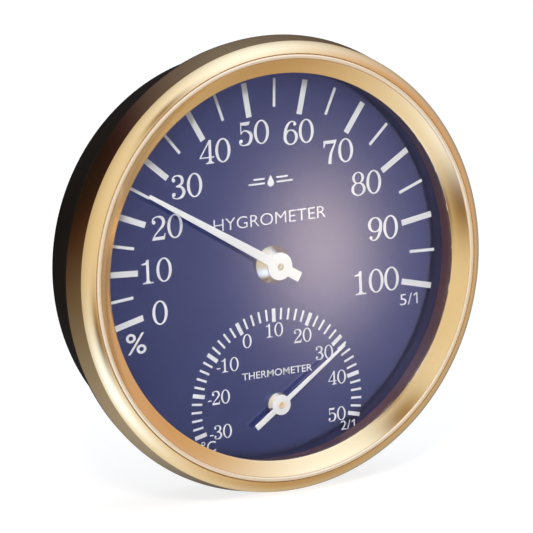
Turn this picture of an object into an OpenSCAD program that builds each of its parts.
// Dial hygrometer with a small thermometer on the same dial, for a wall.
// The wall is the plane y = 0, the dial faces -Y and +Z is up.
// The origin is the centre of the back cover, on the axis of the hygrometer pointer.
// Inside facing_out() x is right, y is up and z is the height above the printed face of the dial.

/* [Case] */
// Outside radius of the gilt bezel
bezel_r = 65; // [64.6:0.1:65.4]
// Depth from the wall to the printed face of the dial
dial_depth = 23.2; // [23:0.1:25]
// Height of the bezel's crest above the printed face
crest_h = 10; // [9.6:0.1:11]
// Radius of the bezel's crest bead
crest_r = 59.9; // [59.7:0.1:60.2]
// Radius of the opening inside the bezel's lip
lip_r = 55; // [54:0.1:55.3]
// Radius of the case at the wall
case_back_r = 57.7; // [57.5:0.1:58.5]
// Thickness of the moulded case wall
case_wall = 1.8; // [1.5:0.1:2.2]
// Thickness of the screwed back cover
cover_t = 2; // [1.8:0.1:2.2]

/* [Window and dial] */
// Thickness of the clear window
window_t = 1.2; // [1:0.1:1.3]
// Height of the window's outer face above the printed face
window_top = 6.4; // [6.3:0.1:6.6]
// Thickness of the dial plate
dial_t = 0.6; // [0.5:0.1:0.8]

/* [Hygrometer] */
// Relative humidity that the pointer shows at rest, in percent
rh_rest = 25; // [10:1:90]
// Length of the hygrometer pointer from its axis to its tip
hyg_pointer_len = 47.2; // [40:0.1:49]
// Length of the tail, from the axis
hyg_tail_len = 7.4; // [6:0.1:9]
// Turns of the humidity coil
hyg_coil_turns = 5; // [4:1:6]

/* [Thermometer] */
// Temperature that the pointer shows at rest, in degrees Celsius
temp_rest = 31.4; // [-20:0.1:45]
// Distance of the thermometer axis below the hygrometer axis
thermo_drop = 40.1; // [39.5:0.1:40.5]
// Length of the thermometer pointer from its axis to its tip
thermo_pointer_len = 25.8; // [22:0.1:26]
// Length of the tail, from the axis
thermo_tail_len = 10; // [7:0.1:10.5]
// Turns of the bimetal coil
thermo_coil_turns = 4; // [3:1:5]

/* [Hidden] */
$fn = 96;

// Case, bezel and what they clamp
back_h = -dial_depth;
seat_h = -dial_t;
flange_r = bezel_r - 0.5;
flange_t = 2.2;
ledge_r = 53;
case_front_r = bezel_r - 1.2;
back_round = 0.8;
cover_r = case_back_r - 2.5;
cover_gap = 0.2;
cover_ledge_r = 50;
cover_ledge_t = 1.6;
bore_r = 57.7;
stack_r = bore_r - 0.2;
skirt_t = 1.4;
skirt_foot = seat_h + 0.1;
shoulder = [bezel_r - 0.1, 6.2];
shoulder_round = 0.35;
band_end = [crest_r + 0.62, crest_h - 0.18];
band_bulge_r = 8;
crest_bead_r = 0.45;
groove_h = crest_h - 0.42;
slope_top = [crest_r - 0.62, crest_h - 0.22];
lip_face_h = window_top + 0.45;
rib_r = 59.3;
pocket_top_h = 5;
gasket_t = 0.8;
window_under = window_top - window_t;
spacer_top = window_under - gasket_t;

// Screws of the case
case_screws = 4;
case_screw_turn = 45;
bezel_screw_r = 59.8;
bezel_boss_r = 2.5;
bezel_boss_h = 5;
m25_r = 1.25;
m25_head_r = 2.1;
m25_head_t = 1.6;
m25_recess = [2.8, 0.6, 1.6];
spot_face = 0.3;
dial_key_r = 0.5;
dial_notch_r = 1.1;
cover_screw_pcr = 48.5;
cover_boss_r = 3.4;
cover_boss_len = 9;
slack = 0.02;

// Keyhole hanger
hanger_z = 36;
hanger_size = [26, 20, 1];
hanger_round = 3;
hanger_window = [12, 17];
key_r = 4;
key_neck_r = 1.9;
key_rise = 7;
rivet_x = 10;
rivet_r = 1.2;

// Vents in the back cover
vent_size = [20, 2];
vent_rows = 5;
vent_pitch = 5;
vent_x = 32;
felt_size = [26, 28, 1];
lever_slot_half = 1.4;
adjuster_gap = 0.6;

// What both movements share. Heights are above the printed face.
plate_t = 1;
plate_under = seat_h - plate_t;
arbor_r = 1;
arbor_play = 0.06;
pivot_r = 0.6;
pivot_len = 0.9;
run_gap = 0.4;
strip_t = 0.3;
post_r = 1.1;
peg_share = 0.6;
slot_w = 0.6;
slot_depth = 0.6;
screw_head_t = 1.3;
arm_w = 4;

// Hygrometer movement
hyg_hole_r = 3.1;
hyg_barrel_r = 3;
hyg_barrel_top = 3.2;
hyg_collar_r = [5.5, 3.5];
hyg_collar_h = 3.4;
hyg_blade_h = 3.95;
hyg_blade_t = 0.5;
hyg_arbor_top = 4.75;
hyg_coil_h = [-12.2, -4.8];
hyg_coil_r = 11.6;
hyg_collet_r = 2.4;
hyg_pillar_x = 17;
hyg_bridge_h = -16.2;
hyg_bridge_t = 1.2;
hyg_arm_h = -14.6;
hyg_lever_h = -17.6;
hyg_lever_len = 20;
hyg_lever_travel = 10;
lever_slot_margin = 6;
hyg_tab = [3, 2];
hyg_bar = [42, 9];
hyg_flange = [6, 2];
hyg_hub_r = 5.4;
hyg_journal_r = 4;
hyg_pillar_r = 2.2;
hyg_peg_r = 1.2;
hyg_screw = [2.1, 1, 5];
hyg_widths = [2.75, 1.1, 2.9];
hyg_boss_r = 3.9;
hyg_ferrule_h = 3.6;
hyg_reach = hyg_coil_r + strip_t / 2 + post_r + slack;
hyg_journal_end = hyg_bridge_h - run_gap;

// Thermometer movement
thermo_hole_r = 2.1;
thermo_barrel_r = 2;
thermo_barrel_top = 1.35;
thermo_collar_r = [3.3, 2.6];
thermo_collar_h = 1.5;
thermo_blade_h = 1.95;
thermo_blade_t = 0.4;
thermo_arbor_top = 2.65;
thermo_coil_h = [-10.2, -4.2];
thermo_coil_r = 7.8;
thermo_collet_r = 2.1;
thermo_pillar_x = 11.8;
thermo_bridge_h = -13.6;
thermo_bridge_t = 1;
thermo_arm_h = -12.2;
thermo_arm_t = 0.8;
adjuster_r = 3.4;
adjuster_end = back_h + 0.8;
adjuster_slot = [1, 2.4];
thermo_bar = [29, 7];
thermo_flange = [4.4, 1.6];
thermo_hub_r = 4.2;
thermo_journal_r = 3;
thermo_pillar_r = 1.8;
thermo_peg_r = 1;
thermo_screw = [1.8, 0.9, 4.5];
thermo_widths = [1.35, 0.65, 1.6];
thermo_boss_r = 2.88;
thermo_ferrule_h = 1.75;
thermo_reach = thermo_coil_r + strip_t / 2 + post_r + slack;
thermo_journal_end = thermo_bridge_h - run_gap;

// Clockwise angle from upright of a reading. The humidity scale is wider in its upper half.
function hyg_angle(rh) = let (u = rh / 100) -103.6 + 164.4 * u + 66.7 * u * u - 24 * u * u * u;
function thermo_angle(temp) = 2.595 * (temp - 10);

function polar(r, a) = [r * cos(a), r * sin(a)];
function arc(centre, r, a0, a1, steps) =
    [for (i = [0 : steps]) centre + polar(r, a0 + (a1 - a0) * i / steps)];
// Points of a bulged line between two ends: an arc of the given radius to the right of the way.
function bulged(from, to, r, steps) =
    let (chord = norm(to - from), mid = (from + to) / 2, way = (to - from) / chord)
    let (rise = sqrt(r * r - chord * chord / 4), centre = mid + rise * [-way[1], way[0]])
    let (a0 = atan2(from[1] - centre[1], from[0] - centre[0]))
    arc(centre, r, a0, a0 + 2 * asin(chord / 2 / r), steps);

// Puts a part drawn flat, with its height in z, on the hygrometer axis and facing the reader.
module facing_out() { translate([0, -dial_depth, 0]) rotate([90, 0, 0]) children(); }
module on_thermo() { facing_out() translate([0, -thermo_drop, 0]) children(); }
module at_case_screws(r) {
    for (i = [1 : case_screws]) rotate([0, 0, case_screw_turn + i * 360 / case_screws])
        translate([r, 0, 0]) children();
}
module at_both(x) { for (side = [-1, 1]) translate([side * x, 0, 0]) children(); }
module rod(r, h0, h1) { translate([0, 0, h0]) cylinder(r = r, h = h1 - h0); }
module tube(r, bore, h0, h1) {
    difference() {
        rod(r, h0, h1);
        rod(bore, h0 - 1, h1 + 1);
    }
}
module layer(h0, h1) { translate([0, 0, h0]) linear_extrude(height = h1 - h0) children(); }
module rounded_bar(len, wide) {
    square([len - wide, wide], center = true);
    at_both((len - wide) / 2) circle(r = wide / 2);
}
module rounded_plate(size, r) {
    square([size[0] - 2 * r, size[1]], center = true);
    square([size[0], size[1] - 2 * r], center = true);
    for (x = [-1, 1], y = [-1, 1]) translate([x * (size[0] / 2 - r), y * (size[1] / 2 - r)]) circle(r = r);
}

// Case ---------------------------------------------------------------------------------------------

module bezel_section() {
    polygon(concat(
        [[bore_r, skirt_foot], [bezel_r, skirt_foot], [bezel_r, shoulder[1] - shoulder_round]],
        bulged([shoulder[0] - 0.05, shoulder[1] + 0.1], band_end, band_bulge_r, 8),
        [[crest_r + crest_bead_r, groove_h]],
        arc([crest_r, crest_h - crest_bead_r], crest_bead_r, 0, 180, 8),
        [[crest_r - crest_bead_r, groove_h], slope_top, [lip_r, lip_face_h], [lip_r, window_top],
            [bore_r, window_top]]));
}
module bezel() {
    color("goldenrod") facing_out() difference() {
        union() {
            difference() {
                rotate_extrude() bezel_section();
                tube(bezel_r - skirt_t, rib_r, skirt_foot - 1, pocket_top_h);
            }
            at_case_screws(bezel_screw_r) rod(bezel_boss_r, skirt_foot, pocket_top_h + 0.2);
        }
        rod(bore_r, skirt_foot - 1, window_top);
        at_case_screws(bezel_screw_r) rod(m25_r + slack, skirt_foot - 1, bezel_boss_h - 0.8);
    }
}
module pan_screw(under, len) {
    difference() {
        union() {
            rod(m25_head_r, under - m25_head_t, under);
            rod(m25_r, under - 0.1, under + len);
        }
        for (turn = [0, 90]) rotate([0, 0, turn]) translate([0, 0, under - m25_head_t])
            cube(m25_recess, center = true);
    }
}
module bezel_screws() {
    color("silver") facing_out() at_case_screws(bezel_screw_r)
        pan_screw(seat_h - flange_t, flange_t + 4);
}
module window() {
    bevel = 0.25;
    color("lightblue", 0.3) facing_out() rotate_extrude() polygon([[0, window_under],
        [stack_r - bevel, window_under], [stack_r, window_under + bevel], [stack_r, window_top - bevel],
        [stack_r - bevel, window_top], [0, window_top]]);
}
module window_gasket() { color("black") facing_out() tube(stack_r, lip_r + 0.9, spacer_top, window_under); }
module spacer_ring() { color("midnightblue") facing_out() tube(stack_r, lip_r + 0.5, 0, spacer_top); }
module dial_plate() {
    color("darkslateblue") facing_out() difference() {
        rod(stack_r, seat_h, 0);
        rod(hyg_hole_r, seat_h - 1, 1);
        translate([0, -thermo_drop, 0]) rod(thermo_hole_r, seat_h - 1, 1);
        translate([0, -stack_r, 0]) rod(dial_notch_r, seat_h - 1, 1);
    }
}
module rear_case() {
    wall_foot = seat_h - flange_t;
    ledge_top = back_h + cover_t + cover_ledge_t;
    color("dimgray") facing_out() difference() {
        union() {
            rotate_extrude() polygon([[ledge_r, seat_h], [flange_r - 0.4, seat_h], [flange_r, seat_h - 0.4],
                [flange_r, wall_foot + 0.4], [flange_r - 0.4, wall_foot], [case_front_r, wall_foot],
                [case_back_r, back_h + back_round], [case_back_r - 0.25, back_h + 0.25],
                [case_back_r - back_round, back_h], [cover_r + cover_gap, back_h],
                [cover_r + cover_gap, back_h + cover_t], [cover_ledge_r, back_h + cover_t],
                [cover_ledge_r, ledge_top], [case_back_r - case_wall + 0.8, ledge_top],
                [case_front_r - case_wall, wall_foot], [ledge_r, wall_foot]]);
            at_case_screws(cover_screw_pcr)
                rod(cover_boss_r, back_h + cover_t + 0.3, back_h + cover_boss_len);
            translate([0, -stack_r + 0.35, 0]) rod(dial_key_r, seat_h - 1, -0.05);
        }
        at_case_screws(cover_screw_pcr) rod(m25_r + slack, back_h, back_h + cover_boss_len - 1);
        at_case_screws(bezel_screw_r) {
            rod(m25_r + 0.25, wall_foot - 1, 1);
            rod(m25_head_r + spot_face, wall_foot - m25_head_t - spot_face, wall_foot);
        }
    }
}
module keyhole() {
    circle(r = key_r);
    translate([-key_neck_r, 0]) square([2 * key_neck_r, key_rise]);
    translate([0, key_rise]) circle(r = key_neck_r);
}
module back_cover() {
    slot_half = hyg_lever_travel + lever_slot_margin;
    slot_reach = 2 * hyg_lever_len;
    color("dimgray") facing_out() difference() {
        rod(cover_r, back_h, back_h + cover_t);
        layer(back_h - 1, back_h + 5) for (side = [-1, 1], row = [0 : vent_rows - 1])
            translate([side * vent_x, (row - (vent_rows - 1) / 2) * vent_pitch])
                rounded_bar(vent_size[0], vent_size[1]);
        translate([0, hanger_z + key_rise / 2, 0]) {
            layer(back_h - 1, back_h + hanger_size[2]) rounded_plate(hanger_size + [0.4, 0.4, 0], hanger_round);
            layer(back_h - 1, back_h + 5) rounded_plate(hanger_window, hanger_round);
            at_both(rivet_x) rod(rivet_r + slack, back_h - 1, back_h + 5);
        }
        intersection() {
            tube(hyg_lever_len + lever_slot_half, hyg_lever_len - lever_slot_half, back_h - 1, back_h + 5);
            layer(back_h - 1, back_h + 5) polygon([[0, 0],
                polar(slot_reach, 90 - slot_half), polar(slot_reach, 90 + slot_half)]);
        }
        translate([0, -thermo_drop, 0]) rod(adjuster_r + adjuster_gap, back_h - 1, back_h + 5);
        at_case_screws(cover_screw_pcr) {
            rod(m25_r + 0.15, back_h - 1, back_h + 5);
            translate([0, 0, back_h - 0.01]) cylinder(r1 = m25_head_r + 0.2, r2 = m25_r, h = 1.2);
        }
    }
}
module cover_screws() {
    color("silver") facing_out() at_case_screws(cover_screw_pcr) difference() {
        union() {
            translate([0, 0, back_h + 0.15]) cylinder(r1 = m25_head_r, r2 = m25_r - 0.05, h = 1);
            rod(m25_r - 0.05, back_h + 1, back_h + cover_boss_len - 2);
        }
        for (turn = [0, 90]) rotate([0, 0, turn]) translate([0, 0, back_h + 0.15])
            cube([m25_recess[0], m25_recess[1], 1], center = true);
    }
}
module hanger_plate() {
    color("lightgray") facing_out() translate([0, hanger_z + key_rise / 2, 0]) difference() {
        layer(back_h, back_h + hanger_size[2]) rounded_plate(hanger_size, hanger_round - 0.2);
        translate([0, -key_rise / 2, 0]) layer(back_h - 1, back_h + 2) keyhole();
        at_both(rivet_x) rod(rivet_r + slack, back_h - 1, back_h + 2);
    }
}
module hanger_rivets() {
    color("silver") facing_out() translate([0, hanger_z + key_rise / 2, 0]) at_both(rivet_x) {
        rod(rivet_r, back_h + 0.1, back_h + cover_t + 0.1);
        rod(2 * rivet_r, back_h + cover_t, back_h + cover_t + 0.7);
    }
}
module vent_felts() {
    color("gray") facing_out() at_both(vent_x) layer(back_h + cover_t, back_h + cover_t + felt_size[2])
        square([felt_size[0], felt_size[1]], center = true);
}

// Parts that both movements have ---------------------------------------------------------------------

module frame_plate(bar, hole_r, pillar_x, peg_r) {
    layer(plate_under, seat_h) difference() {
        union() {
            rounded_bar(bar[0], bar[1]);
            circle(r = bar[1] * 0.75);
        }
        circle(r = hole_r);
        at_both(pillar_x) circle(r = peg_r + slack);
    }
}
// Threaded bush: flange is its flange's radius and thickness.
module bush(flange, barrel, top) {
    difference() {
        union() {
            rod(flange[0], plate_under - flange[1], plate_under);
            rod(barrel, plate_under - 0.1, top);
        }
        rod(arbor_r + arbor_play, plate_under - flange[1] - 1, top + 1);
    }
}
module collar(radii, tall, barrel) {
    land = 0.35;
    difference() {
        rotate_extrude() polygon([[0, 0], [radii[0] - 0.1, 0], [radii[0], 0.1], [radii[0], land],
            [radii[1] + 0.15, tall - 0.1], [radii[1], tall], [0, tall]]);
        rod(barrel + slack, -1, tall + 1);
    }
}
module pillars(x, r, peg_r, foot, bore) {
    at_both(x) difference() {
        union() {
            rod(r, foot, plate_under);
            rod(peg_r, plate_under - 0.1, seat_h - 0.1);
        }
        rod(bore + slack, foot - 1, foot + 5);
    }
}
module bridge(bar, h, t, hole_r, screw_x, screw_r) {
    layer(h, h + t) difference() {
        union() {
            rounded_bar(bar[0], bar[1]);
            circle(r = bar[1] * 0.72);
        }
        circle(r = hole_r);
        at_both(screw_x) circle(r = screw_r + 0.1);
    }
}
// Pair of slotted screws: size is the head's radius, the thread's radius and the thread's length.
module slotted_screws(x, under, size) {
    at_both(x) difference() {
        union() {
            rod(size[0], under - screw_head_t, under);
            rod(size[1], under - 0.1, under + size[2]);
        }
        translate([0, 0, under - screw_head_t]) cube([3 * size[0], slot_w, 2 * slot_depth], center = true);
    }
}
// Flat strip wound into a spiral, whose outer end is straight below the axis.
module coil_strip(r_in, r_out, turns, h) {
    steps = 28 * turns;
    middle = [for (i = [0 : steps])
        polar(r_in + (r_out - r_in) * i / steps, -90 - 360 * turns * (1 - i / steps))];
    inner = [for (p = middle) p * (1 - strip_t / 2 / norm(p))];
    outer = [for (i = [steps : -1 : 0]) middle[i] * (1 + strip_t / 2 / norm(middle[i]))];
    layer(h[0], h[1]) polygon(concat(inner, outer));
}
// Arm on a friction bush, with a blind bearing for the arbor's rear pivot and a hole for the anchor post.
module regulator(arm_h, arm_t, hub_r, reach, journal_r, journal_end) {
    difference() {
        union() {
            layer(arm_h, arm_h + arm_t) {
                circle(r = hub_r);
                translate([0, -reach / 2]) rotate(90) rounded_bar(reach + arm_w, arm_w);
            }
            rod(journal_r, journal_end, arm_h + 0.1);
            rod(journal_r * peg_share, journal_end - plate_t, journal_end + 0.1);
        }
        rod(pivot_r + arbor_play, arm_h - 1.1, arm_h + arm_t + 1);
        translate([0, -reach, 0]) rod(post_r * 0.7 + slack, arm_h - 1, arm_h + arm_t + 1);
    }
}
module anchor_post(reach, arm_h, arm_t, top) {
    translate([0, -reach, 0]) {
        rod(post_r, arm_h + arm_t, top);
        rod(post_r * 0.7, arm_h, arm_h + arm_t + 0.1);
    }
}
module arbor(pivot_end, shoulder_h, top) {
    difference() {
        union() {
            rod(arbor_r, shoulder_h, top);
            rod(pivot_r, pivot_end, shoulder_h + 0.1);
        }
        translate([0, 0, top - 0.25]) cylinder(r1 = 0.05, r2 = 0.45, h = 0.26);
    }
}
module collet(r, h) {
    difference() {
        union() {
            rod(r, h[0] - 0.3, h[1] + 0.1);
            rod(r + 0.7, h[1] + 0.1, h[1] + 0.6);
        }
        rod(arbor_r + slack / 2, h[0] - 1, h[1] + 1);
    }
}
// Flat pointer drawn pointing up: a tapered blade, a round boss and a tail with a square end.
// Its widths are those of the blade at the boss, of the blade at the tip and of the tail.
module pointer(len, tail, widths, boss, h, t, ferrule_h) {
    root = widths[0] / 2;
    tip = widths[1] / 2;
    difference() {
        union() {
            layer(h, h + t) {
                polygon([[-root, 0], [root, 0], [tip, len], [-tip, len]]);
                translate([-widths[2] / 2, -tail]) square([widths[2], tail]);
                circle(r = boss);
            }
            rod(2 * arbor_r, ferrule_h, h + 0.1);
        }
        rod(arbor_r + slack / 2, ferrule_h - 1, h + t + 1);
    }
}

// Hygrometer movement --------------------------------------------------------------------------------

module hyg_frame_plate() {
    color("silver") facing_out() frame_plate(hyg_bar, hyg_hole_r, hyg_pillar_x, hyg_peg_r);
}
module hyg_bush() { color("gold") facing_out() bush(hyg_flange, hyg_barrel_r, hyg_barrel_top); }
module hyg_collar() { color("gainsboro") facing_out() collar(hyg_collar_r, hyg_collar_h, hyg_barrel_r); }
module hyg_pillars() {
    color("gold") facing_out()
        pillars(hyg_pillar_x, hyg_pillar_r, hyg_peg_r, hyg_bridge_h + hyg_bridge_t, hyg_screw[1]);
}
module hyg_bridge() {
    color("silver") facing_out()
        bridge(hyg_bar, hyg_bridge_h, hyg_bridge_t, hyg_journal_r + arbor_play, hyg_pillar_x, hyg_screw[1]);
}
module hyg_bridge_screws() { color("gray") facing_out() slotted_screws(hyg_pillar_x, hyg_bridge_h, hyg_screw); }
module hyg_regulator() {
    color("silver") facing_out()
        regulator(hyg_arm_h, plate_t, hyg_hub_r, hyg_reach, hyg_journal_r, hyg_journal_end);
}
module hyg_anchor_post() {
    color("gold") facing_out() anchor_post(hyg_reach, hyg_arm_h, plate_t, hyg_coil_h[1] + strip_t);
}
module hyg_lever() {
    color("silver") facing_out() {
        layer(hyg_lever_h, hyg_lever_h + plate_t) difference() {
            union() {
                circle(r = hyg_hub_r);
                translate([0, hyg_lever_len / 2]) rotate(90) rounded_bar(hyg_lever_len + arm_w, arm_w);
            }
            circle(r = hyg_journal_r * peg_share + slack);
        }
        layer(back_h + 0.3, hyg_lever_h + 0.1) translate([0, hyg_lever_len]) square(hyg_tab, center = true);
    }
}
module hyg_coil() {
    color("peru") facing_out()
        coil_strip(hyg_collet_r + strip_t / 2 + slack, hyg_coil_r, hyg_coil_turns, hyg_coil_h);
}
module hyg_arbor() {
    color("khaki") facing_out() arbor(hyg_arm_h - pivot_len, hyg_arm_h + plate_t + run_gap, hyg_arbor_top);
}
module hyg_collet() { color("gold") facing_out() collet(hyg_collet_r, hyg_coil_h); }
module hyg_pointer() {
    color("white") facing_out() rotate([0, 0, -hyg_angle(rh_rest)])
        pointer(hyg_pointer_len, hyg_tail_len, hyg_widths, hyg_boss_r, hyg_blade_h, hyg_blade_t, hyg_ferrule_h);
}

// Thermometer movement -------------------------------------------------------------------------------

module thermo_frame_plate() {
    color("silver") on_thermo() frame_plate(thermo_bar, thermo_hole_r, thermo_pillar_x, thermo_peg_r);
}
module thermo_bush() { color("gold") on_thermo() bush(thermo_flange, thermo_barrel_r, thermo_barrel_top); }
module thermo_collar() {
    color("gainsboro") on_thermo() collar(thermo_collar_r, thermo_collar_h, thermo_barrel_r);
}
module thermo_pillars() {
    color("gold") on_thermo() pillars(thermo_pillar_x, thermo_pillar_r, thermo_peg_r,
        thermo_bridge_h + thermo_bridge_t, thermo_screw[1]);
}
module thermo_bridge() {
    color("silver") on_thermo() bridge(thermo_bar, thermo_bridge_h, thermo_bridge_t,
        thermo_journal_r + arbor_play, thermo_pillar_x, thermo_screw[1]);
}
module thermo_bridge_screws() {
    color("gray") on_thermo() slotted_screws(thermo_pillar_x, thermo_bridge_h, thermo_screw);
}
module thermo_regulator() {
    color("silver") on_thermo() regulator(thermo_arm_h, thermo_arm_t, thermo_hub_r, thermo_reach,
        thermo_journal_r, thermo_journal_end);
}
module thermo_anchor_post() {
    color("gold") on_thermo()
        anchor_post(thermo_reach, thermo_arm_h, thermo_arm_t, thermo_coil_h[1] + strip_t);
}
module thermo_adjuster() {
    color("gold") on_thermo() difference() {
        rod(adjuster_r, adjuster_end, thermo_journal_end);
        rod(thermo_journal_r * peg_share + slack, thermo_journal_end - plate_t - 0.1, thermo_journal_end + 1);
        translate([0, 0, adjuster_end])
            cube([3 * adjuster_r, adjuster_slot[0], adjuster_slot[1]], center = true);
    }
}
module thermo_coil() {
    color("slategray") on_thermo()
        coil_strip(thermo_collet_r + strip_t / 2 + slack, thermo_coil_r, thermo_coil_turns, thermo_coil_h);
}
module thermo_arbor() {
    color("khaki") on_thermo()
        arbor(thermo_arm_h - pivot_len, thermo_arm_h + thermo_arm_t + run_gap, thermo_arbor_top);
}
module thermo_collet() { color("gold") on_thermo() collet(thermo_collet_r, thermo_coil_h); }
module thermo_pointer() {
    color("white") on_thermo() rotate([0, 0, -thermo_angle(temp_rest)]) pointer(thermo_pointer_len,
        thermo_tail_len, thermo_widths, thermo_boss_r, thermo_blade_h, thermo_blade_t, thermo_ferrule_h);
}

bezel();
bezel_screws();
window();
window_gasket();
spacer_ring();
dial_plate();
rear_case();
back_cover();
cover_screws();
hanger_plate();
hanger_rivets();
vent_felts();
hyg_frame_plate();
hyg_bush();
hyg_collar();
hyg_pillars();
hyg_bridge();
hyg_bridge_screws();
hyg_regulator();
hyg_anchor_post();
hyg_lever();
hyg_coil();
hyg_arbor();
hyg_collet();
hyg_pointer();
thermo_frame_plate();
thermo_bush();
thermo_collar();
thermo_pillars();
thermo_bridge();
thermo_bridge_screws();
thermo_regulator();
thermo_anchor_post();
thermo_adjuster();
thermo_coil();
thermo_arbor();
thermo_collet();
thermo_pointer();
